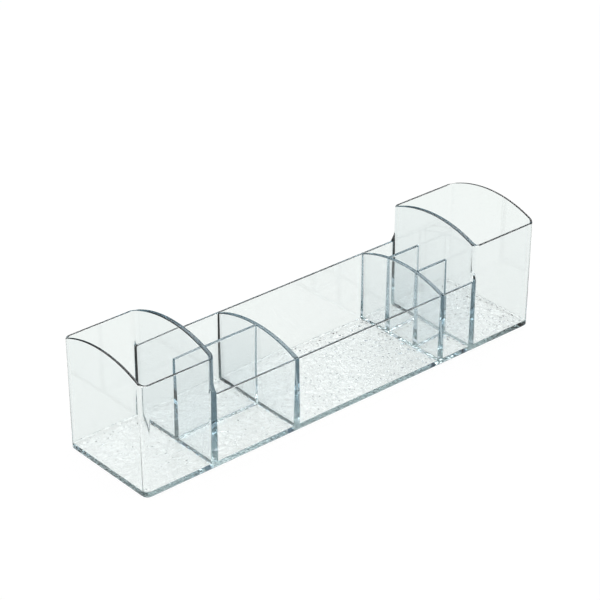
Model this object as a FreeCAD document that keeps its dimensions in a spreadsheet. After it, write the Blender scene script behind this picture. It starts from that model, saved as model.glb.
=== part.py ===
import FreeCAD, Part
import math
import os
import Sketcher

# Clear storage organizer for a bathroom shelf: a long tray with a tall bin at each end, lower
# panels between them, and dividers that stand on the floor plate. Every wall is a piece of its
# own and meets its neighbours face to face. Moulding draft makes each wall thicker at its foot.
# Frame: origin under the middle of the tray, X along its length, Y to the back, Z up.

# name, value in millimetres, meaning
dimensions = [
    ("tray_length", 318.0, "left end to right end"),
    ("tray_width", 77.0, "front face to back face"),
    ("corner_radius", 5.0, "outer corners, seen from above"),
    ("base_thickness", 3.5, "floor plate"),
    ("base_edge_round", 0.5, "lower edge of the floor plate"),
    ("bin_rim_height", 75.9, "front and back rims of the end bins"),
    ("panel_height", 50.8, "front and back panels between the bins"),
    ("bin_arch_rise", 8.3, "crown of a bin's side wall above its rims"),
    ("divider_arch_rise", 7.6, "crown of a cross divider above the panels"),
    ("left_bin_length", 54.0, "along the tray"),
    ("right_bin_length", 54.8, "along the tray"),
    ("left_divider_gap", 62.5, "left bin's side to the middle of the left cross divider"),
    ("right_divider_gap", 26.1, "right bin's side to the middle of the right cross divider"),
    ("wall_rim", 1.6, "outer wall at its rim"),
    ("wall_foot", 2.4, "outer wall at the floor"),
    ("inward_rim", 3.0, "bin's wall towards the panels, at its rim"),
    ("inward_foot", 5.0, "the same wall at the floor"),
    ("cross_crown", 2.8, "cross divider at its crown"),
    ("cross_foot", 5.0, "cross divider at the floor"),
    ("lengthwise_crown", 2.2, "lengthwise divider at the height of the cross dividers' crown"),
    ("lengthwise_foot", 4.2, "lengthwise divider at the floor"),
    ("hollow_corner", 1.2, "corners inside a bin, at its wall towards the panels"),
    ("rim_round", 0.5, "rounding of the upper edges"),
    ("cut_overrun", 4.0, "how far every cut runs past the material"),
]

# How close two coordinates are when they count as the same, as a share of the floor plate
same_place_share = 0.001

doc = FreeCAD.newDocument("storage_organizer")
sheet = doc.addObject("Spreadsheet::Sheet", "Sizes")


# A size carries its number and its formula in terms of the sheet
class Size:
    def __init__(self, number, formula):
        self.number = number
        self.formula = formula

    def __add__(self, other):
        return Size(self.number + value_of(other), f"({self.formula} + {formula_of(other)})")

    def __sub__(self, other):
        return Size(self.number - value_of(other), f"({self.formula} - {formula_of(other)})")

    def __mul__(self, other):
        return Size(self.number * value_of(other), f"({self.formula} * {formula_of(other)})")

    def __truediv__(self, other):
        return Size(self.number / value_of(other), f"({self.formula} / {formula_of(other)})")

    def __neg__(self):
        return Size(-self.number, f"(0 - {self.formula})")

    def root(self):
        return Size(self.number ** 0.5, f"sqrt({self.formula})")


def value_of(term):
    return term.number if isinstance(term, Size) else term


def formula_of(term):
    return term.formula if isinstance(term, Size) else str(term)


size = {}
for row, (name, value, meaning) in enumerate(dimensions, start=1):
    sheet.set(f"A{row}", meaning)
    sheet.set(f"B{row}", str(value))
    sheet.setAlias(f"B{row}", name)
    size[name] = Size(value, f"Sizes.{name}")
doc.recompute()

nothing = Size(0.0, "0")
floor_top = size["base_thickness"]
half_length = size["tray_length"] / 2
half_width = size["tray_width"] / 2
divider_crown = size["panel_height"] + size["divider_arch_rise"]
divider_span = size["tray_width"] - size["wall_rim"] * 2
bin_blank_top = size["bin_rim_height"] + size["bin_arch_rise"] + size["cut_overrun"]
same_place = size["base_thickness"].number * same_place_share


# Half the thickness of a divider at a height, from its foot to its crown and past it. kind is
# cross or lengthwise
def half_divider(kind, height):
    foot = size[f"{kind}_foot"]
    crown = size[f"{kind}_crown"]
    return (foot - (foot - crown) * (height - floor_top) / (divider_crown - floor_top)) / 2


# Radius of the circle through the two ends and the crown of an arch
def arch_radius(span, rise):
    return (span * span / 4 + rise * rise) / (rise * 2)


# Height of the cross dividers' arch at a distance from the tray's middle line
def divider_top(across):
    radius = arch_radius(divider_span, size["divider_arch_rise"])
    return divider_crown - radius + (radius * radius - across * across).root()


def origin_plane(body, role):
    return next(plane for plane in body.Origin.OriginFeatures if plane.Role == role)


def new_body(label):
    body = doc.addObject("PartDesign::Body", label)
    body.Label = label
    return body


def new_sketch(body, name, role, offset):
    sketch = body.newObject("Sketcher::SketchObject", name)
    sketch.AttachmentSupport = [(origin_plane(body, role), "")]
    sketch.MapMode = "FlatFace"
    sketch.AttachmentOffset = FreeCAD.Placement(FreeCAD.Vector(0, 0, offset.number), FreeCAD.Rotation())
    sketch.setExpression("AttachmentOffset.Base.z", offset.formula)
    return sketch


# Ties one end of a line or arc to a place measured from the sketch's origin
def pin_point(sketch, geometry, end, place):
    for kind, coordinate in zip(("DistanceX", "DistanceY"), place):
        index = sketch.addConstraint(
            Sketcher.Constraint(kind, -1, 1, geometry, end, coordinate.number))
        sketch.setExpression(f"Constraints[{index}]", coordinate.formula)


# Closed outline through corners. arcs gives, by the number of its first corner, the radius and
# the turn of a side that is an arc: +1 is anticlockwise, -1 is clockwise
def add_outline(sketch, corners, arcs=None):
    arcs = arcs or {}
    first = sketch.GeometryCount
    count = len(corners)
    points = [FreeCAD.Vector(x.number, y.number, 0) for x, y in corners]
    for side in range(count):
        start = points[side]
        end = points[(side + 1) % count]
        if side in arcs:
            radius, turn = arcs[side]
            chord = end - start
            inward = FreeCAD.Vector(-chord.y, chord.x, 0).normalize() * turn
            reach = (radius.number ** 2 - (chord.Length / 2) ** 2) ** 0.5
            bulge = (start + end) / 2 + inward * (reach - radius.number)
            sketch.addGeometry(Part.Arc(start, bulge, end), False)
        else:
            sketch.addGeometry(Part.LineSegment(start, end), False)
    for side in range(count):
        here = first + side
        there = first + (side + 1) % count
        clockwise = side in arcs and arcs[side][1] < 0
        next_clockwise = (side + 1) % count in arcs and arcs[(side + 1) % count][1] < 0
        last_end = 1 if clockwise else 2
        first_end = 2 if next_clockwise else 1
        sketch.addConstraint(Sketcher.Constraint("Coincident", here, last_end, there, first_end))
        pin_point(sketch, there, first_end, corners[(side + 1) % count])
        if side in arcs:
            index = sketch.addConstraint(Sketcher.Constraint("Radius", here, arcs[side][0].number))
            sketch.setExpression(f"Constraints[{index}]", arcs[side][0].formula)


def rectangle(body, name, height, x_range, y_range):
    sketch = new_sketch(body, name, "XY_Plane", height)
    x_low, x_high = x_range
    y_low, y_high = y_range
    add_outline(sketch, [(x_low, y_low), (x_high, y_low), (x_high, y_high), (x_low, y_high)])
    return sketch


# Gives a sketch its thickness, to one side or to both sides alike
def extrude(body, name, sketch, length, both_sides=False):
    pad = body.newObject("PartDesign::Pad", name)
    pad.Profile = sketch
    pad.Length = length.number
    pad.setExpression("Length", length.formula)
    pad.SideType = "Symmetric" if both_sides else "One side"
    doc.recompute()


# Cuts a sketch away, down to a depth, or right through to both sides where no depth is given
def cut(body, name, sketch, depth=None):
    pocket = body.newObject("PartDesign::Pocket", name)
    pocket.Profile = sketch
    if depth is None:
        pocket.Type = "ThroughAll"
        pocket.SideType = "Symmetric"
    else:
        pocket.Length = depth.number
        pocket.setExpression("Length", depth.formula)
    check_volume_falls(body, pocket)


def check_volume_falls(body, feature):
    before = feature.BaseFeature.Shape.Volume
    doc.recompute()
    if not feature.Shape.Volume < before:
        raise RuntimeError(f"{feature.Name} of {body.Label} removes nothing")


def edge_names(shape, wanted):
    return [f"Edge{number}" for number, edge in enumerate(shape.Edges, start=1) if wanted(edge)]


def round_edges(body, name, radius, wanted):
    base = body.Tip
    fillet = body.newObject("PartDesign::Fillet", name)
    fillet.Base = (base, edge_names(base.Shape, wanted))
    fillet.Radius = radius.number
    fillet.setExpression("Radius", radius.formula)
    doc.recompute()


# Rounds those edges of the tip's arched top that are wanted
def round_arch(body, arch, wanted):
    top = next(face for face in body.Tip.Shape.Faces
               if isinstance(face.Surface, Part.Cylinder)
               and abs(face.Surface.Radius - arch.number) < same_place)
    rim = [edge for edge in top.Edges if wanted(edge)]
    round_edges(body, "rim", size["rim_round"], lambda edge: any(edge.isSame(other) for other in rim))


def is_upright(edge):
    return edge.BoundBox.XLength < same_place and edge.BoundBox.YLength < same_place


def place(body, x, y, turned=False):
    turn = FreeCAD.Rotation(FreeCAD.Vector(0, 0, 1), 180 if turned else 0)
    body.Placement = FreeCAD.Placement(FreeCAD.Vector(x.number, y.number, 0), turn)
    body.setExpression("Placement.Base.x", x.formula)
    body.setExpression("Placement.Base.y", y.formula)


# Floor plate with rounded corners and a softened lower edge
def make_base():
    body = new_body("base")
    outline = rectangle(body, "plate_outline", nothing, (-half_length, half_length), (-half_width, half_width))
    extrude(body, "plate", outline, size["base_thickness"])
    round_edges(body, "corners", size["corner_radius"], is_upright)
    round_edges(body, "lower_edge", size["base_edge_round"], lambda edge: edge.BoundBox.ZMax < same_place)
    return body


# Ring of four walls. Its own x runs from the tray's end to the side that faces the panels. There
# the corners are square up to the panels' height, so that the panels run flush into them, and
# rounded above
def make_bin(label, length, x, turned):
    body = new_body(label)
    outline = rectangle(body, "block_outline", floor_top, (nothing, length), (-half_width, half_width))
    extrude(body, "block", outline, bin_blank_top - floor_top)
    radius = size["corner_radius"]
    round_edges(body, "end_corners", radius,
                lambda edge: is_upright(edge) and edge.BoundBox.XMax < same_place)
    cut_inward_corners(body, length)
    cut_hollow(body, length)
    cut_bin_arch(body)
    place(body, x, nothing, turned)
    return body


def cut_inward_corners(body, length):
    sketch = new_sketch(body, "inward_corner_outline", "XY_Plane", bin_blank_top)
    radius = size["corner_radius"]
    beyond_x = length + size["cut_overrun"]
    beyond_y = half_width + size["cut_overrun"]
    for side in (-1, 1):
        corners = [
            (length - radius, beyond_y * side),
            (beyond_x, beyond_y * side),
            (beyond_x, (half_width - radius) * side),
            (length, (half_width - radius) * side),
            (length - radius, half_width * side),
        ]
        add_outline(sketch, corners, {3: (radius, side)})
    cut(body, "inward_corners", sketch, bin_blank_top - size["panel_height"])


# Straight hollow first, then draft on its walls, which widens it upwards from the floor, and at
# last its corners. The wall towards the panels is thicker and has more draft
def cut_hollow(body, length):
    foot = size["wall_foot"]
    inward_foot = size["inward_foot"]
    reach = half_width - foot
    outline = rectangle(body, "hollow_outline", bin_blank_top, (foot, length - inward_foot), (-reach, reach))
    cut(body, "hollow", outline)

    inward_x = (length - inward_foot).number
    rise = size["bin_rim_height"] - floor_top
    draft_faces(body, "outer_walls_draft", (foot - size["wall_rim"]) / rise,
                lambda box: lies_inside(box, length) and box.XMin < inward_x - same_place)
    draft_faces(body, "inward_wall_draft", (inward_foot - size["inward_rim"]) / rise,
                lambda box: lies_inside(box, length) and box.XMin > inward_x - same_place)
    round_edges(body, "hollow_end_corners", size["corner_radius"] - foot,
                lambda edge: lies_inside(edge.BoundBox, length) and climbs(edge)
                and edge.BoundBox.XMax < foot.number + same_place)
    round_edges(body, "hollow_inward_corners", size["hollow_corner"],
                lambda edge: lies_inside(edge.BoundBox, length) and climbs(edge)
                and edge.BoundBox.XMin > inward_x - same_place)


def lies_inside(box, length):
    return box.XMin > same_place and box.XMax < length.number - same_place and \
        max(-box.YMin, box.YMax) < half_width.number - same_place


def climbs(edge):
    return edge.BoundBox.ZLength > (size["bin_rim_height"] - floor_top).number


# Leans those faces of the tip that are wanted, about their lower edges
def draft_faces(body, name, slope, wanted):
    base = body.Tip
    leaning = []
    underside = None
    for number, face in enumerate(base.Shape.Faces, start=1):
        if face.BoundBox.ZMax < floor_top.number + same_place:
            underside = f"Face{number}"
        elif wanted(face.BoundBox):
            leaning.append(f"Face{number}")
    draft = body.newObject("PartDesign::Draft", name)
    draft.Base = (base, leaning)
    draft.NeutralPlane = (base, [underside])
    draft.Angle = math.degrees(math.atan(slope.number))
    draft.setExpression("Angle", f"atan({slope.formula})")
    check_volume_falls(body, draft)


def cut_bin_arch(body):
    sketch = new_sketch(body, "arch_outline", "YZ_Plane", nothing)
    rim_height = size["bin_rim_height"]
    beyond = half_width + size["cut_overrun"]
    above = bin_blank_top + size["cut_overrun"]
    corners = [
        (-half_width, rim_height),
        (-beyond, rim_height),
        (-beyond, above),
        (beyond, above),
        (beyond, rim_height),
        (half_width, rim_height),
    ]
    radius = arch_radius(size["tray_width"], size["bin_arch_rise"])
    add_outline(sketch, corners, {5: (radius, 1)})
    cut(body, "arch", sketch)
    round_arch(body, radius, lambda edge: True)


# Wall between the bins. Its outer face lies on its own y = 0 and the draft is on its inner face
def make_panel(label, y, turned):
    body = new_body(label)
    left_end = size["left_bin_length"] - half_length
    right_end = half_length - size["right_bin_length"]
    sketch = new_sketch(body, "wall_outline", "YZ_Plane", nothing)
    top = size["panel_height"]
    corners = [(nothing, floor_top), (size["wall_foot"], floor_top), (size["wall_rim"], top), (nothing, top)]
    add_outline(sketch, corners)
    extrude(body, "wall", sketch, right_end - left_end, both_sides=True)
    round_upper_edges(body, top)
    place(body, (left_end + right_end) / 2, y, turned)
    return body


# Rounds the two long edges at the very top of a straight wall
def round_upper_edges(body, top):
    round_edges(body, "rim", size["rim_round"], lambda edge:
                edge.BoundBox.ZMin > top.number - same_place and edge.BoundBox.YLength < same_place)


# Takes the draft off both sides of a divider, from its foot up past its top
def taper_sides(body, kind, role, top):
    sketch = new_sketch(body, "draft_outline", role, nothing)
    above = top + size["cut_overrun"]
    foot = half_divider(kind, floor_top)
    beyond = foot + size["cut_overrun"]
    for side in (-1, 1):
        corners = [(foot * side, floor_top), (beyond * side, floor_top), (beyond * side, above),
                   (half_divider(kind, above) * side, above)]
        add_outline(sketch, corners)
    cut(body, "draft", sketch)


# Arched wall across the tray, between the panels' inner faces
def make_cross_divider(label, x):
    body = new_body(label)
    sketch = new_sketch(body, "wall_outline", "YZ_Plane", nothing)
    foot_reach = half_width - size["wall_foot"]
    rim_reach = divider_span / 2
    top = size["panel_height"]
    corners = [(-foot_reach, floor_top), (foot_reach, floor_top), (rim_reach, top), (-rim_reach, top)]
    radius = arch_radius(divider_span, size["divider_arch_rise"])
    add_outline(sketch, corners, {2: (radius, 1)})
    extrude(body, "wall", sketch, size["cross_foot"], both_sides=True)
    taper_sides(body, "cross", "XZ_Plane", divider_crown)
    round_arch(body, radius, lambda edge: edge.BoundBox.YLength > rim_reach.number)
    place(body, x, nothing)
    return body


# Wall from a bin's side to the next cross divider. Its own x starts at the bin
def make_lengthwise_divider(label, x, y, gap, across, turned):
    body = new_body(label)
    top = divider_top(across)
    sketch = new_sketch(body, "wall_outline", "XZ_Plane", nothing)
    corners = [(nothing, floor_top), (gap - half_divider("cross", floor_top), floor_top),
               (gap - half_divider("cross", top), top), (nothing, top)]
    add_outline(sketch, corners)
    extrude(body, "wall", sketch, size["lengthwise_foot"], both_sides=True)
    taper_sides(body, "lengthwise", "YZ_Plane", top)
    round_upper_edges(body, top)
    place(body, x, y, turned)
    return body


left_gap = size["left_divider_gap"]
right_gap = size["right_divider_gap"]
left_bin_side = size["left_bin_length"] - half_length
right_bin_side = half_length - size["right_bin_length"]
third_of_width = size["tray_width"] / 3
off_middle = half_width - third_of_width

bodies = [
    make_base(),
    make_bin("left_bin", size["left_bin_length"], -half_length, False),
    make_bin("right_bin", size["right_bin_length"], half_length, True),
    make_panel("front_panel", -half_width, False),
    make_panel("back_panel", half_width, True),
    make_cross_divider("left_cross_divider", left_bin_side + left_gap),
    make_cross_divider("right_cross_divider", right_bin_side - right_gap),
    make_lengthwise_divider("left_lengthwise_divider", left_bin_side, nothing, left_gap, nothing, False),
    make_lengthwise_divider("right_front_lengthwise_divider", right_bin_side, -off_middle, right_gap,
                            off_middle, True),
    make_lengthwise_divider("right_rear_lengthwise_divider", right_bin_side, off_middle, right_gap,
                            off_middle, True),
]

doc.recompute()
for item in doc.Objects:
    if "Invalid" in item.State or "Error" in item.State:
        raise RuntimeError(f"{item.Name} did not build: {item.State}")
for body in bodies:
    if body.Shape.isNull() or not body.Shape.isValid() or len(body.Shape.Solids) != 1:
        raise RuntimeError(f"{body.Label} is not one sound solid")

os.makedirs("parts", exist_ok=True)
for body in bodies:
    body.Shape.exportStep(f"parts/{body.Label}.step")
    box = body.Shape.optimalBoundingBox(False)
    print(f"{body.Label:32s} {box.XLength:7.2f} {box.YLength:7.2f} {box.ZLength:7.2f}  {body.Shape.Volume:9.1f}")
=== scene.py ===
import math

import bmesh
import bpy
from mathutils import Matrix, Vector


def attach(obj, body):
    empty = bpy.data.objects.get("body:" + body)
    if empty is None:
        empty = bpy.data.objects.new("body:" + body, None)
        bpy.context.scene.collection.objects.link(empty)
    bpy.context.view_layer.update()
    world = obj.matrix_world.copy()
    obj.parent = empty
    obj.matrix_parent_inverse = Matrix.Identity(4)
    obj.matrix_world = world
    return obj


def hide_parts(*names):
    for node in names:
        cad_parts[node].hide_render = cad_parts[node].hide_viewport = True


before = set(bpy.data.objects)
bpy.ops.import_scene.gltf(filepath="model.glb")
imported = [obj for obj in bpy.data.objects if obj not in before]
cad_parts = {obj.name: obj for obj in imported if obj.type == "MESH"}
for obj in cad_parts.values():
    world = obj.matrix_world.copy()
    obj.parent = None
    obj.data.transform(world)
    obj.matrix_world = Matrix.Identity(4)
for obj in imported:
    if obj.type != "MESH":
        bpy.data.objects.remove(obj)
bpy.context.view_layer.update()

# Clear divided tray, in the same pieces as the frame. Where two of them meet, their faces are
# marked as joined, and light passes there as it does inside one moulding.

tray = {
    "length": 0.318,
    "width": 0.077,
    "cornerRadius": 0.005,
    "floorTop": 0.0035,
    "panelTop": 0.0508,
    "wallAtRim": 0.0016,
    "wallAtFoot": 0.0019,
    "leanAtFoot": 0.0006,    # how far the outer faces stand in at the floor
    "rimRound": 0.001,       # largest rounding of the upper edges
    "rimShare": 0.46,        # and its share of the wall's thickness, on thin walls
    "rimSteps": 6,
    "joinGap": 0.00001,      # left between joined faces, too thin to see
    "levels": (0.02, 0.036),    # heights between foot and rim where a wall has points
}
halfLength = tray["length"] / 2
halfWidth = tray["width"] / 2
footHeight = tray["floorTop"] + tray["joinGap"]

shaping = {
    "startRadius": 0.01,     # of the circle that becomes a wall's first section
    "placesPerMetre": 1e7,   # how finely two places are told apart
    "mergeDistance": 1e-7,
    "onLine": 1e-9,          # how near counts as on a line of points
    "onFace": 1e-6,          # and on a face
    "facing": 0.9,           # how straight along an axis a face looks to count as facing that way
    "stepSlack": 1e-6,       # keeps a whole number of steps from being rounded up
    "smoothAngle": 30,
}

bins = {
    "rimHeight": 0.0759,
    "archRise": 0.0083,
    "leftLength": 0.054,
    "rightLength": 0.0548,
    "inwardAtRim": 0.003,   # the walls between two compartments are thicker and taper more
    "inwardAtFoot": 0.005,
    "sideAtFoot": 0.001,     # how far these walls stand out towards the panels at the floor
    "flareHeight": 0.0075,   # where the inward corners turn from square to round
    "flarePower": 1.8,
    "flareShares": (0.06, 0.14, 0.25, 0.4, 0.56, 0.72, 0.86),    # heights with points in the flare
    "aboveFlare": 0.0004,
    "upperLevel": 0.066,
    "hollowFillet": 0.0008,  # inside those corners, below the flare
    "filletSteps": 2,        # for half a corner
    "cornerSteps": 16,
    "sideSteps": 30,
}

dividers = {
    "archRise": 0.0076,
    "crossAtCrown": 0.0028,
    "crossAtFoot": 0.005,
    "lengthwiseAtTop": 0.0022,
    "lengthwiseAtFoot": 0.0042,
    "leftGap": 0.0625,       # from the left bin's side to the middle of its cross divider
    "rightGap": 0.0261,
    "archSteps": 36,
    "crossShares": (0.35, 0.7),    # heights with points, as shares of the wall's own height
    "lengthwiseLevels": (0.02, 0.04),
}

leftBinSide = bins["leftLength"] - halfLength
rightBinSide = halfLength - bins["rightLength"]
leftCrossPlace = leftBinSide + dividers["leftGap"]
rightCrossPlace = rightBinSide - dividers["rightGap"]
offMiddle = halfWidth - tray["width"] / 3
dividerCrown = tray["panelTop"] + dividers["archRise"]


def archTop(across, span, endHeight, rise):
    radius = (span * span / 4 + rise * rise) / (2 * rise)
    return endHeight + rise - radius + math.sqrt(radius * radius - min(abs(across), span / 2) ** 2)


# The arches end where the front and back walls begin
archSpan = tray["width"] - 2 * tray["wallAtRim"]


def binRim(across):
    return archTop(across, archSpan, bins["rimHeight"], bins["archRise"])


def crossDividerTop(across):
    return archTop(across, archSpan, tray["panelTop"], dividers["archRise"])


# Moulding draft: walls get thinner upwards
def drafted(foot, rim, rimHeight, height):
    return foot - (foot - rim) * (height - tray["floorTop"]) / (rimHeight - tray["floorTop"])


def wallAt(height):
    return drafted(tray["wallAtFoot"], tray["wallAtRim"], bins["rimHeight"], height)


# How far the outer faces stand in at a height, and the bins' sides stand out
def lean(height):
    return drafted(tray["leanAtFoot"], 0.0, bins["rimHeight"], height)


def sideLean(height):
    return drafted(bins["sideAtFoot"], 0.0, bins["rimHeight"], height)


def inwardAt(height):
    return drafted(bins["inwardAtFoot"], bins["inwardAtRim"], bins["rimHeight"], height)


def halfCross(height):
    return drafted(dividers["crossAtFoot"], dividers["crossAtCrown"], dividerCrown, height) / 2


def halfLengthwise(height):
    return drafted(dividers["lengthwiseAtFoot"], dividers["lengthwiseAtTop"], dividerCrown, height) / 2


def placeKey(point):
    return tuple(round(value * shaping["placesPerMetre"]) for value in point)


# The underside of a wall, which stands on the floor plate
def isFoot(centre, normal):
    return normal.z < -shaping["facing"] and centre.z < footHeight + shaping["onFace"]


# A wall grows from its first cross section to its last, one extrusion for each. A ring ends on
# its first section again.
def growWall(name, sections, ring=False):
    bpy.ops.object.select_all(action="DESELECT")
    first = sections[0]
    bpy.ops.mesh.primitive_circle_add(vertices=len(first), radius=shaping["startRadius"],
                                      fill_type="NGON")
    wall = bpy.context.object
    wall.name = name
    wall.data.name = name
    bpy.ops.object.mode_set(mode="EDIT")
    mesh = bmesh.from_edit_mesh(wall.data)
    mesh.verts.ensure_lookup_table()
    for corner, place in zip(mesh.verts, first):
        corner.co = place
    last = first
    for section in sections[1:] + ([first] if ring else []):
        bpy.ops.mesh.extrude_region_move()
        moves = {placeKey(old): new for old, new in zip(last, section)}
        mesh = bmesh.from_edit_mesh(wall.data)
        for corner in mesh.verts:
            if corner.select:
                corner.co = moves[placeKey(corner.co)]
        last = section
    bmesh.update_edit_mesh(wall.data)
    if ring:    # the two end caps lie on each other here, and the ring goes through them
        mesh = bmesh.from_edit_mesh(wall.data)
        caps = [face for face in mesh.faces if len(face.verts) == len(first)]
        bmesh.ops.delete(mesh, geom=caps, context="FACES_ONLY")
        bmesh.update_edit_mesh(wall.data)
    bpy.ops.mesh.select_all(action="SELECT")
    bpy.ops.mesh.remove_doubles(threshold=shaping["mergeDistance"])
    bpy.ops.mesh.normals_make_consistent(inside=False)
    bpy.ops.object.mode_set(mode="OBJECT")
    return wall


# Marks the faces that lie against another piece
def markJoined(piece, isJoined):
    joined = piece.data.attributes.new("joined", "FLOAT", "FACE")
    for face in piece.data.polygons:
        joined.data[face.index].value = 1.0 if isJoined(face.center, face.normal) else 0.0


def finishPiece(piece, node, material):
    bpy.ops.object.select_all(action="DESELECT")
    piece.select_set(True)
    bpy.context.view_layer.objects.active = piece
    bpy.ops.object.shade_smooth_by_angle(angle=math.radians(shaping["smoothAngle"]))
    # keeps the wide faces flat beside the rims
    flat = piece.modifiers.new("flat", "WEIGHTED_NORMAL")
    flat.mode = "FACE_AREA"
    flat.weight = 100
    flat.keep_sharp = True
    bpy.ops.object.modifier_apply(modifier="flat")
    piece.data.materials.append(material)
    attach(piece, "root")
    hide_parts(node)


# Places from low to high with a given largest step, and the ends and the marks among them
def spread(marks, step):
    places = [marks[0]]
    for low, high in zip(marks, marks[1:]):
        count = max(1, math.ceil((high - low) / step - shaping["stepSlack"]))
        places += [low + (high - low) * part / count for part in range(1, count + 1)]
    return places


# How far across the rim a rounded edge has come, and how far it lies below the top
def rimProfile(thickness):
    radius = min(tray["rimRound"], tray["rimShare"] * thickness)
    steps = tray["rimSteps"]
    turns = [math.pi / 2 * part / steps for part in range(steps + 1)]
    rise = [(radius * (1 - math.cos(turn)), radius * (1 - math.sin(turn))) for turn in turns]
    fall = [(thickness - across, drop) for across, drop in reversed(rise)]
    return rise + fall


# Materials

plastic = {
    "ior": 1.5,
    "tint": (22.0, 17.5, 15.5),      # how fast red, green and blue fade, per metre of plastic
    "litFloorTint": (9.0, 6.5, 6.5),    # the same plastic made lighter, painted light that only brings the floor plate's edge near the photo
    "tintShare": 0.9,                # the fastest of the three, as a share of the density
    "waveSize": 0.018,       # faint waves that moulding leaves in the flat faces
    "waveHeight": 0.00003,
    "waveDetail": 1,
    "wearSize": 0.006,       # patches that wiping has left a little less glossy
    "wearDetail": 3,
    "wearFrom": 0.45,        # share of the noise where wear begins, and where it is full
    "wearTo": 0.75,
    "wearRoughness": 0.02,
    "pebbleSize": 0.0026,    # relief on the floor, over the pebbles in its mesh
    "pebbleSoftness": 0.6,
    "pebbleHeight": 0.00065,
}


# Height and roughness of a moulded face, from its place
def makeMouldedFace():
    group = bpy.data.node_groups.new("mouldedFace", "ShaderNodeTree")
    group.interface.new_socket("Place", in_out="INPUT", socket_type="NodeSocketVector")
    group.interface.new_socket("Height", in_out="OUTPUT", socket_type="NodeSocketFloat")
    group.interface.new_socket("Roughness", in_out="OUTPUT", socket_type="NodeSocketFloat")
    entry = group.nodes.new("NodeGroupInput")
    result = group.nodes.new("NodeGroupOutput")
    waves = group.nodes.new("ShaderNodeTexNoise")
    waves.inputs["Scale"].default_value = 1 / plastic["waveSize"]
    waves.inputs["Detail"].default_value = plastic["waveDetail"]
    height = group.nodes.new("ShaderNodeMath")
    height.operation = "MULTIPLY"
    height.inputs[1].default_value = plastic["waveHeight"]
    wear = group.nodes.new("ShaderNodeTexNoise")
    wear.inputs["Scale"].default_value = 1 / plastic["wearSize"]
    wear.inputs["Detail"].default_value = plastic["wearDetail"]
    rough = group.nodes.new("ShaderNodeMapRange")
    rough.inputs["From Min"].default_value = plastic["wearFrom"]
    rough.inputs["From Max"].default_value = plastic["wearTo"]
    rough.inputs["To Max"].default_value = plastic["wearRoughness"]
    group.links.new(entry.outputs["Place"], waves.inputs["Vector"])
    group.links.new(entry.outputs["Place"], wear.inputs["Vector"])
    group.links.new(waves.outputs["Fac"], height.inputs[0])
    group.links.new(wear.outputs["Fac"], rough.inputs["Value"])
    group.links.new(height.outputs[0], result.inputs["Height"])
    group.links.new(rough.outputs["Result"], result.inputs["Roughness"])
    return group


mouldedFace = makeMouldedFace()


# Joined faces let light straight through, and the pebbles cover only the floor's upper face
def clearPlastic(name, tint, pebbled=False):
    material = bpy.data.materials.new(name)
    material.use_nodes = True
    tree = material.node_tree
    shader = tree.nodes["Principled BSDF"]
    output = tree.nodes["Material Output"]
    shader.inputs["Base Color"].default_value = (1, 1, 1, 1)
    shader.inputs["Transmission Weight"].default_value = 1
    shader.inputs["IOR"].default_value = plastic["ior"]
    joined = tree.nodes.new("ShaderNodeAttribute")
    joined.attribute_name = "joined"
    solid = tree.nodes.new("ShaderNodeMath")
    solid.operation = "SUBTRACT"
    solid.inputs[0].default_value = 1
    tree.links.new(joined.outputs["Fac"], solid.inputs[1])
    tree.links.new(solid.outputs[0], shader.inputs["Alpha"])
    depth = tree.nodes.new("ShaderNodeVolumeAbsorption")
    density = max(tint) / plastic["tintShare"]
    depth.inputs["Density"].default_value = density
    depth.inputs["Color"].default_value = tuple(1 - loss / density for loss in tint) + (1,)
    tree.links.new(depth.outputs[0], output.inputs["Volume"])
    place = tree.nodes.new("ShaderNodeTexCoord")
    face = tree.nodes.new("ShaderNodeGroup")
    face.node_tree = mouldedFace
    bump = tree.nodes.new("ShaderNodeBump")
    bump.inputs["Distance"].default_value = 1
    tree.links.new(place.outputs["Object"], face.inputs["Place"])
    tree.links.new(face.outputs["Roughness"], shader.inputs["Roughness"])
    tree.links.new(bump.outputs["Normal"], shader.inputs["Normal"])
    height = face.outputs["Height"]
    if pebbled:
        cells = tree.nodes.new("ShaderNodeTexVoronoi")
        cells.feature = "SMOOTH_F1"
        cells.inputs["Scale"].default_value = 1 / plastic["pebbleSize"]
        cells.inputs["Smoothness"].default_value = plastic["pebbleSoftness"]
        covered = tree.nodes.new("ShaderNodeAttribute")
        covered.attribute_name = "pebbled"
        deep = tree.nodes.new("ShaderNodeMath")
        deep.operation = "MULTIPLY"
        deep.inputs[1].default_value = -plastic["pebbleHeight"]
        relief = tree.nodes.new("ShaderNodeMath")
        relief.operation = "MULTIPLY_ADD"
        tree.links.new(place.outputs["Object"], cells.inputs["Vector"])
        tree.links.new(cells.outputs["Distance"], deep.inputs[0])
        tree.links.new(deep.outputs[0], relief.inputs[0])
        tree.links.new(covered.outputs["Fac"], relief.inputs[1])
        tree.links.new(height, relief.inputs[2])
        height = relief.outputs[0]
    tree.links.new(height, bump.inputs["Height"])
    return material


clear = clearPlastic("clearPlastic", plastic["tint"])
# the floor plate gets the lighter tint, painted light on its edge
pebbledClear = clearPlastic("pebbledPlastic", plastic["litFloorTint"], pebbled=True)

# Floor plate

floorPlate = {
    "gridStep": 0.00065,
    "edgeRound": 0.0012,
    "edgeSteps": 4,
    "pebbleSize": 0.0024,
    "pebbleHeight": 0.0002,
    "smoothEdge": 0.0009,    # band along each wall where the pebbles fade out
}

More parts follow.
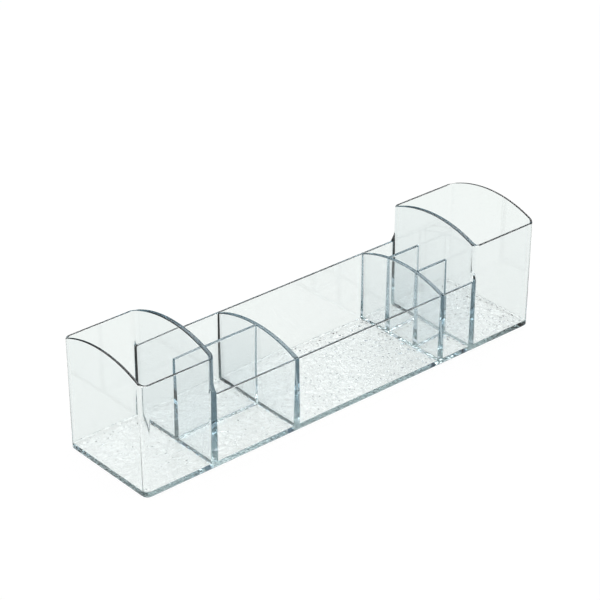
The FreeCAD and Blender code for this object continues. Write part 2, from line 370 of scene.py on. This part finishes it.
footRadius = tray["cornerRadius"] - tray["leanAtFoot"]
footLength = halfLength - tray["leanAtFoot"]
footWidth = halfWidth - tray["leanAtFoot"]
floorFoot = tray["wallAtFoot"]
inwardFoot = bins["inwardAtFoot"]
leftSideFoot = leftBinSide + bins["sideAtFoot"]
rightSideFoot = rightBinSide - bins["sideAtFoot"]
crossFoot = dividers["crossAtFoot"] / 2
halfFoot = dividers["lengthwiseAtFoot"] / 2
floorLinesX = [
    -footLength, -footLength + floorFoot, leftSideFoot - inwardFoot, leftSideFoot,
    leftCrossPlace - crossFoot, leftCrossPlace + crossFoot,
    rightCrossPlace - crossFoot, rightCrossPlace + crossFoot,
    rightSideFoot, rightSideFoot + inwardFoot, footLength - floorFoot, footLength,
]
floorLinesY = [
    -footWidth, -footWidth + floorFoot, -offMiddle - halfFoot, -offMiddle + halfFoot, -halfFoot,
    halfFoot, offMiddle - halfFoot, offMiddle + halfFoot, footWidth - floorFoot, footWidth,
]
compartments = [    # low x, high x, low y, high y
    (floorLinesX[1], floorLinesX[2], floorLinesY[1], floorLinesY[8]),
    (floorLinesX[3], floorLinesX[4], floorLinesY[1], floorLinesY[4]),
    (floorLinesX[3], floorLinesX[4], floorLinesY[5], floorLinesY[8]),
    (floorLinesX[5], floorLinesX[6], floorLinesY[1], floorLinesY[8]),
    (floorLinesX[7], floorLinesX[8], floorLinesY[1], floorLinesY[2]),
    (floorLinesX[7], floorLinesX[8], floorLinesY[3], floorLinesY[6]),
    (floorLinesX[7], floorLinesX[8], floorLinesY[7], floorLinesY[8]),
    (floorLinesX[9], floorLinesX[10], floorLinesY[1], floorLinesY[8]),
]


# How deep a place lies inside a compartment, or nothing where a wall stands
def insideCompartment(x, y):
    return max(min(x - lowX, highX - x, y - lowY, highY - y)
               for lowX, highX, lowY, highY in compartments)


# Turns the square outer corners of the grid into the rounded ones of the plate
def roundCorner(x, y):
    radius = footRadius
    for side in (-1, 1):
        u = x * side - (footLength - radius)
        v = abs(y) - (footWidth - radius)
        if u > 0 and v > 0:
            far, near = max(u, v), min(u, v)
            turn = math.pi / 4 * near / far
            if u < v:
                turn = math.pi / 2 - turn
            return (side * (footLength - radius + far * math.cos(turn)),
                    math.copysign(footWidth - radius + far * math.sin(turn), y))
    return x, y


def makeFloorPlate():
    columns = spread(floorLinesX, floorPlate["gridStep"])
    rows = spread(floorLinesY, floorPlate["gridStep"])
    bpy.ops.object.select_all(action="DESELECT")
    bpy.ops.mesh.primitive_grid_add(x_subdivisions=len(columns) - 1, y_subdivisions=len(rows) - 1, size=1)
    plate = bpy.context.object
    plate.name = plate.data.name = "floorPlate"
    top = tray["floorTop"]
    for number, corner in enumerate(plate.data.vertices):
        corner.co = (columns[number % len(columns)], rows[number // len(columns)], top)
    underWall = plate.data.attributes.new("joined", "FLOAT", "FACE")
    for face in plate.data.polygons:
        underWall.data[face.index].value = 0.0 if insideCompartment(*face.center[:2]) > 0 else 1.0
    pressed = plate.vertex_groups.new(name="pressed")
    shares = []
    for corner in plate.data.vertices:
        depth = insideCompartment(corner.co.x, corner.co.y)
        share = min(max(depth / floorPlate["smoothEdge"], 0.0), 1.0)
        shares.append(share * share * (3 - 2 * share))
        if share > 0:
            pressed.add([corner.index], shares[-1], "REPLACE")
        corner.co.x, corner.co.y = roundCorner(corner.co.x, corner.co.y)

    pebbles = bpy.data.textures.new("pebbles", "VORONOI")
    pebbles.noise_scale = floorPlate["pebbleSize"]
    pebbles.distance_metric = "DISTANCE"
    press = plate.modifiers.new("press", "DISPLACE")
    press.texture = pebbles
    press.texture_coords = "LOCAL"
    press.direction = "Z"
    press.vertex_group = "pressed"
    press.mid_level = 0.5
    press.strength = -floorPlate["pebbleHeight"]
    bpy.ops.object.modifier_apply(modifier="press")
    pebbled = plate.data.attributes.new("pebbled", "FLOAT", "POINT")
    pebbled.data.foreach_set("value", shares)

    # The edge goes straight down and turns under in a small round
    bpy.ops.object.mode_set(mode="EDIT")
    mesh = bmesh.from_edit_mesh(plate.data)
    for item in list(mesh.faces) + list(mesh.edges) + list(mesh.verts):
        item.select = False
    for edge in mesh.edges:
        if edge.is_boundary:
            edge.select_set(True)
    bmesh.update_edit_mesh(plate.data)
    edgeRound = floorPlate["edgeRound"]
    steps = floorPlate["edgeSteps"]
    levels = [(0.0, edgeRound)]
    for step in range(1, steps + 1):
        turn = math.pi / 2 * step / steps
        levels.append((edgeRound * (1 - math.cos(turn)), edgeRound * (1 - math.sin(turn))))
    lastInset = 0.0
    for inset, height in levels:
        bpy.ops.mesh.extrude_region_move()
        mesh = bmesh.from_edit_mesh(plate.data)
        for corner in mesh.verts:
            if corner.select:
                nearX = min(max(corner.co.x, footRadius - footLength), footLength - footRadius)
                nearY = min(max(corner.co.y, footRadius - footWidth), footWidth - footRadius)
                away = Vector((corner.co.x - nearX, corner.co.y - nearY, 0))
                corner.co -= away.normalized() * (inset - lastInset)
                corner.co.z = height
        lastInset = inset
    bpy.ops.mesh.edge_face_add()
    bpy.ops.mesh.select_all(action="SELECT")
    bpy.ops.mesh.normals_make_consistent(inside=False)
    bpy.ops.object.mode_set(mode="OBJECT")
    joined = plate.data.attributes["joined"]
    for face in plate.data.polygons:    # the edge and the underside took the top's mark
        if face.normal.z < shaping["facing"]:
            joined.data[face.index].value = 0.0
    return plate


finishPiece(makeFloorPlate(), "base", pebbledClear)
print("floor plate pressed")


# Bins


# Cross sections of a bin's ring, all round. side is +1 where its inward side faces +X. marks are
# the places across the tray where dividers meet that side.
def binSections(length, side, marks):
    radius = tray["cornerRadius"]
    reachY = halfWidth - radius
    farX = length - radius
    steps = bins["cornerSteps"]
    filletSteps = bins["filletSteps"]
    levels = [footHeight, *tray["levels"], tray["panelTop"], dividerCrown]
    levels += [tray["panelTop"] + bins["flareHeight"] * share for share in bins["flareShares"]]
    levels += [tray["panelTop"] + bins["flareHeight"] + bins["aboveFlare"], bins["upperLevel"]]
    levels.sort()

    # Places on the path, as functions of height and of the share of the wall taken off
    stations = []

    def straight(x, y):
        stations.append(lambda height, part: (x(height, part), y(height, part)))

    # Out along one side and back along the other, on a square with small or no fillet. along counts
    # steps from the straight side, far and near are the reaches across and along it.
    def squarePlace(along, far, near, mark, fillet):
        bend = steps / 2 - filletSteps
        if along <= bend:
            first = (near - radius) / 2
            return far, first + (near - max(mark, fillet) - first) * along / bend
        if fillet == 0:
            return far, near - mark * (steps / 2 - along) / filletSteps
        turn = math.pi / 4 * (along - bend) / filletSteps
        return far - fillet * (1 - math.cos(turn)), near - fillet * (1 - math.sin(turn))

    def corner(centreX, centreY, start, squared):
        for step in range(steps + 1):
            turn = start + math.pi / 2 * step / steps

            def place(height, part, turn=turn, step=step):
                widthReach = radius - lean(height) - part * wallAt(height)
                lengthReach = widthReach
                if squared:
                    lengthReach = radius + sideLean(height) - part * inwardAt(height)
                roundX, roundY = lengthReach * math.cos(turn), widthReach * math.sin(turn)
                share = squareShare(height) if squared else 0.0
                if share == 0:
                    return centreX + roundX, centreY + roundY
                mark = wallAt(min(height, tray["panelTop"]))
                fillet = bins["hollowFillet"] if part > 0 else 0.0
                onX = (step <= steps / 2) == (abs(math.cos(start)) > 0.5)
                reaches = (lengthReach, widthReach) if onX else (widthReach, lengthReach)
                far, near = squarePlace(min(step, steps - step), *reaches, mark, fillet)
                squareX, squareY = (far, near) if onX else (near, far)
                squareX *= 1 if centreX > length / 2 else -1
                squareY *= 1 if centreY > 0 else -1
                return (centreX + roundX * (1 - share) + squareX * share,
                        centreY + roundY * (1 - share) + squareY * share)

            stations.append(place)

    def squareShare(height):
        part = min(max((height - tray["panelTop"]) / bins["flareHeight"], 0.0), 1.0)
        return (1 - part) ** bins["flarePower"]

    # Own x runs from the tray's end, 0, to the inward side, length
    corner(farX, -reachY, -math.pi / 2, True)
    along = spread([-reachY] + sorted(marks) + [reachY], (2 * reachY) / bins["sideSteps"])[1:-1]
    for across in along:
        nearest = min(marks, key=lambda mark: abs(mark - across))
        if abs(nearest - across) < shaping["onLine"]:    # this line follows a divider's edge
            centre = round(nearest / offMiddle) * offMiddle if len(marks) > 2 else 0.0
            sign = 1 if nearest > centre else -1
            straight(lambda height, part: length + sideLean(height) - part * inwardAt(height),
                     lambda height, part, centre=centre, sign=sign:
                     centre + sign * halfLengthwise(min(height, dividerCrown)))
        else:
            straight(lambda height, part: length + sideLean(height) - part * inwardAt(height),
                     lambda height, part, across=across: across)
    corner(farX, reachY, 0, True)
    corner(radius, reachY, math.pi / 2, False)
    for across in reversed(spread([-reachY, reachY], (2 * reachY) / bins["sideSteps"])[1:-1]):
        straight(lambda height, part: lean(height) + part * wallAt(height),
                 lambda height, part, across=across: across)
    corner(radius, -reachY, math.pi, False)

    endX = -side * halfLength
    sections = []
    for place in stations:
        def onPath(height, part):
            x, y = place(height, part)
            return Vector((endX + side * x, y, height))
        outer = [onPath(height, 0.0) for height in levels]
        inner = [onPath(height, 1.0) for height in reversed(levels)]
        top = bins["rimHeight"]
        thickness = (onPath(top, 1.0) - onPath(top, 0.0)).length
        rim = []
        for across, drop in rimProfile(thickness):
            point = onPath(top, across / thickness)
            point.z = binRim(point.y) - drop
            rim.append(point)
        sections.append(outer + rim + inner)
    return sections


def makeBin(name, length, side, marks, dividerTops):
    ring = growWall(name, binSections(length, side, marks), ring=True)
    inward = side * (length - halfLength)

    def isJoined(centre, normal):
        if isFoot(centre, normal):
            return True
        if abs(centre.x - inward - side * sideLean(centre.z)) > shaping["onFace"]:
            return False
        if centre.z < tray["panelTop"] and abs(centre.y) > halfWidth - lean(centre.z) - wallAt(centre.z):
            return True
        return any(abs(centre.y - middle) < halfLengthwise(centre.z) and centre.z < top
                   for middle, top in dividerTops)

    markJoined(ring, isJoined)
    return ring


leftMarks = [-halfFoot, halfFoot]
rightMarks = [side * offMiddle + edge for side in (-1, 1) for edge in (-halfFoot, halfFoot)]
leftBin = makeBin("leftBinWalls", bins["leftLength"], 1, leftMarks, [(0.0, crossDividerTop(0.0))])
finishPiece(leftBin, "left_bin", clear)
rightBin = makeBin("rightBinWalls", bins["rightLength"], -1, rightMarks,
                   [(-offMiddle, crossDividerTop(offMiddle)), (offMiddle, crossDividerTop(offMiddle))])
finishPiece(rightBin, "right_bin", clear)
print("bins shaped")


# Panels between the bins

def makePanel(name, side):
    gap = tray["joinGap"]
    top = tray["panelTop"]
    levels = [footHeight, *tray["levels"]]
    places = [(leftBinSide + gap, 1, sideLean)]
    for cross in (leftCrossPlace, rightCrossPlace):
        places += [(cross, -1, halfCross), (cross, 1, halfCross)]
    places.append((rightBinSide - gap, -1, sideLean))
    sections = []
    for x, edge, reach in places:
        def at(inset, height):
            return Vector((x + edge * reach(height), side * (halfWidth - lean(height) - inset), height))
        outer = [at(0.0, height) for height in levels]
        rim = [at(across, top - drop) for across, drop in rimProfile(wallAt(top))]
        inner = [at(wallAt(height), height) for height in reversed(levels)]
        sections.append(outer + rim + inner)
    panel = growWall(name, sections)

    def isJoined(centre, normal):
        if abs(normal.x) > shaping["facing"] or isFoot(centre, normal):
            return True
        if normal.y * side > -shaping["facing"] or centre.z > top - tray["rimShare"] * wallAt(top):
            return False
        return any(abs(centre.x - cross) < halfCross(centre.z)
                   for cross in (leftCrossPlace, rightCrossPlace))

    markJoined(panel, isJoined)
    return panel


finishPiece(makePanel("frontPanelWall", -1), "front_panel", clear)
finishPiece(makePanel("backPanelWall", 1), "back_panel", clear)
print("panels drawn")


# Dividers

# Arched wall across the tray. meets lists where a lengthwise divider stands against it, and on
# which side
def makeCrossDivider(name, x, meets, side):
    gap = tray["joinGap"]
    marks = sorted(middle + edge * halfFoot for middle in meets for edge in (-1, 1))
    reach = footWidth - tray["wallAtFoot"]
    along = spread([-reach] + marks + [reach], 2 * reach / dividers["archSteps"])
    sections = []
    for across in along:
        middle = min(meets, key=lambda place: abs(place - across))
        onMark = abs(abs(across - middle) - halfFoot) < shaping["onLine"]
        atEnd = abs(abs(across) - reach) < shaping["onLine"]

        def yAt(height):
            if atEnd:
                low = min(height, tray["panelTop"])
                return math.copysign(halfWidth - lean(low) - wallAt(low) - gap, across)
            if onMark:
                return middle + math.copysign(halfLengthwise(height), across - middle)
            return across

        top = crossDividerTop(yAt(dividerCrown))
        sideHeight = top - tray["rimRound"] - footHeight
        levels = [footHeight + sideHeight * share for share in (0, *dividers["crossShares"])]
        left = [Vector((x - halfCross(height), yAt(height), height)) for height in levels]
        rim = []
        for acrossRim, drop in rimProfile(2 * halfCross(top)):
            rim.append(Vector((x - halfCross(top) + acrossRim, yAt(top - drop), top - drop)))
        right = [Vector((x + halfCross(height), yAt(height), height)) for height in reversed(levels)]
        sections.append(left + rim + right)
    wall = growWall(name, sections)

    def isJoined(centre, normal):
        if abs(normal.y) > shaping["facing"] or isFoot(centre, normal):
            return True
        if normal.x * side < shaping["facing"]:
            return False
        return any(abs(centre.y - middle) < halfLengthwise(centre.z)
                   and centre.z < crossDividerTop(middle) - tray["rimRound"] for middle in meets)

    markJoined(wall, isJoined)
    return wall


finishPiece(makeCrossDivider("leftCrossWall", leftCrossPlace, [0.0], -1), "left_cross_divider", clear)
finishPiece(makeCrossDivider("rightCrossWall", rightCrossPlace, [-offMiddle, offMiddle], 1),
            "right_cross_divider", clear)


# Straight wall from a bin's side to a cross divider
def makeLengthwiseDivider(name, binSide, cross, y):
    gap = tray["joinGap"]
    toCross = 1 if cross > binSide else -1
    top = crossDividerTop(y)
    levels = [footHeight, *dividers["lengthwiseLevels"]]
    half = halfLengthwise(top)
    sections = []
    for atCross in (False, True):
        def at(across, height):
            x = binSide + toCross * (sideLean(height) + gap)
            if atCross:
                x = cross - toCross * (halfCross(height) + gap)
            return Vector((x, y + across, height))
        left = [at(-halfLengthwise(height), height) for height in levels]
        rim = [at(acrossRim - half, top - drop) for acrossRim, drop in rimProfile(2 * half)]
        right = [at(halfLengthwise(height), height) for height in reversed(levels)]
        sections.append(left + rim + right)
    wall = growWall(name, sections)
    markJoined(wall, lambda centre, normal:
               abs(normal.x) > shaping["facing"] or isFoot(centre, normal))
    return wall


finishPiece(makeLengthwiseDivider("leftLengthWall", leftBinSide, leftCrossPlace, 0.0),
            "left_lengthwise_divider", clear)
finishPiece(makeLengthwiseDivider("rightFrontLengthWall", rightBinSide, rightCrossPlace, -offMiddle),
            "right_front_lengthwise_divider", clear)
finishPiece(makeLengthwiseDivider("rightRearLengthWall", rightBinSide, rightCrossPlace, offMiddle),
            "right_rear_lengthwise_divider", clear)
print("dividers set")

# Studio floor, light and camera

studio = {
    "floorSize": 8.0,
    "floorDrop": 0.0002,     # keeps the tray's underside clear of the floor
    "floorColour": 0.02,
    "shadedFloorGlow": (0.895, 0.925, 0.905),    # painted shade: the floor glows dimmer and greener where it is seen through or in the plastic
    "floorWhite": (0.96, 0.96, 0.96),      # seen straight from the camera
    # sine of the height above the horizon, and how bright the studio is there
    "walls": [(0.0, (0.01, 0.03, 0.06)), (0.21, (0.04, 0.07, 0.12)), (0.4, (0.75, 0.79, 0.85)),
              (0.49, (0.97, 0.98, 1.0)), (0.6, (1.5, 1.5, 1.5)), (0.72, (4.0, 4.0, 4.0))],
    "gamma": 0.85,
    "bounces": 32,
    "glossyBounces": 16,
}

# Sockets of a Mix node that mixes colours
mixSockets = {"share": 0, "first": 6, "second": 7, "mixed": 2}


def makeFloor():
    bpy.ops.object.select_all(action="DESELECT")
    bpy.ops.mesh.primitive_plane_add(size=studio["floorSize"], location=(0, 0, -studio["floorDrop"]))
    floor = bpy.context.object
    floor.name = "studioFloor"
    material = bpy.data.materials.new("paleFloor")
    material.use_nodes = True
    shader = material.node_tree.nodes["Principled BSDF"]
    grey = studio["floorColour"]
    shader.inputs["Base Color"].default_value = (grey, grey, grey, 1)
    shader.inputs["Roughness"].default_value = 1
    shader.inputs["Specular IOR Level"].default_value = 0
    tree = material.node_tree
    # Painted light: the floor glows instead of being lit, white to the camera, and dimmer and greener to
    # rays through or in the plastic, as painted shade under the tray
    path = tree.nodes.new("ShaderNodeLightPath")
    glow = tree.nodes.new("ShaderNodeMix")
    glow.data_type = "RGBA"
    glow.inputs[mixSockets["first"]].default_value = studio["shadedFloorGlow"] + (1,)
    glow.inputs[mixSockets["second"]].default_value = studio["floorWhite"] + (1,)
    tree.links.new(path.outputs["Is Camera Ray"], glow.inputs[mixSockets["share"]])
    tree.links.new(glow.outputs[mixSockets["mixed"]], shader.inputs["Emission Color"])
    shader.inputs["Emission Strength"].default_value = 1
    floor.data.materials.append(material)


def makeStudio():
    world = bpy.data.worlds.new("studio")
    bpy.context.scene.world = world
    world.use_nodes = True
    tree = world.node_tree
    light = tree.nodes["Background"]
    place = tree.nodes.new("ShaderNodeTexCoord")
    split = tree.nodes.new("ShaderNodeSeparateXYZ")
    ramp = tree.nodes.new("ShaderNodeValToRGB")
    stops = ramp.color_ramp.elements
    stops.remove(stops[-1])
    for number, (height, colour) in enumerate(studio["walls"]):
        stop = stops[0] if number == 0 else stops.new(height)
        stop.position = height
        stop.color = colour + (1,)
    path = tree.nodes.new("ShaderNodeLightPath")
    mix = tree.nodes.new("ShaderNodeMix")
    mix.data_type = "RGBA"
    mix.inputs[mixSockets["second"]].default_value = (1, 1, 1, 1)
    tree.links.new(place.outputs["Generated"], split.inputs[0])
    tree.links.new(split.outputs["Z"], ramp.inputs[0])
    tree.links.new(path.outputs["Is Camera Ray"], mix.inputs[mixSockets["share"]])
    tree.links.new(ramp.outputs[0], mix.inputs[mixSockets["first"]])
    tree.links.new(mix.outputs[mixSockets["mixed"]], light.inputs[0])


view = {
    "target": (-0.00813, 0.0, 0.06242),
    "azimuth": -40.764,
    "elevation": 28.915,
    "distance": 1.37853,
    "lens": 134.342,         # in millimetres, on a sensor this wide
    "sensor": 36,
    "clipEnd": 50,
}


def makeCamera():
    azimuth = math.radians(view["azimuth"])
    elevation = math.radians(view["elevation"])
    back = Vector((math.sin(azimuth) * math.cos(elevation), -math.cos(azimuth) * math.cos(elevation),
                   math.sin(elevation)))
    bpy.ops.object.camera_add(location=Vector(view["target"]) + back * view["distance"],
                              rotation=back.to_track_quat("Z", "Y").to_euler())
    camera = bpy.context.object
    camera.data.sensor_width = view["sensor"]
    camera.data.lens = view["lens"]
    camera.data.clip_end = view["clipEnd"]
    bpy.context.scene.camera = camera


makeFloor()
makeStudio()
makeCamera()

scene = bpy.context.scene
scene.view_settings.view_transform = "Standard"
scene.view_settings.gamma = studio["gamma"]
scene.cycles.max_bounces = studio["bounces"]
scene.cycles.transmission_bounces = studio["bounces"]
scene.cycles.glossy_bounces = studio["glossyBounces"]
scene.cycles.transparent_max_bounces = studio["bounces"]
scene.cycles.use_denoising = True

print("scene ready")
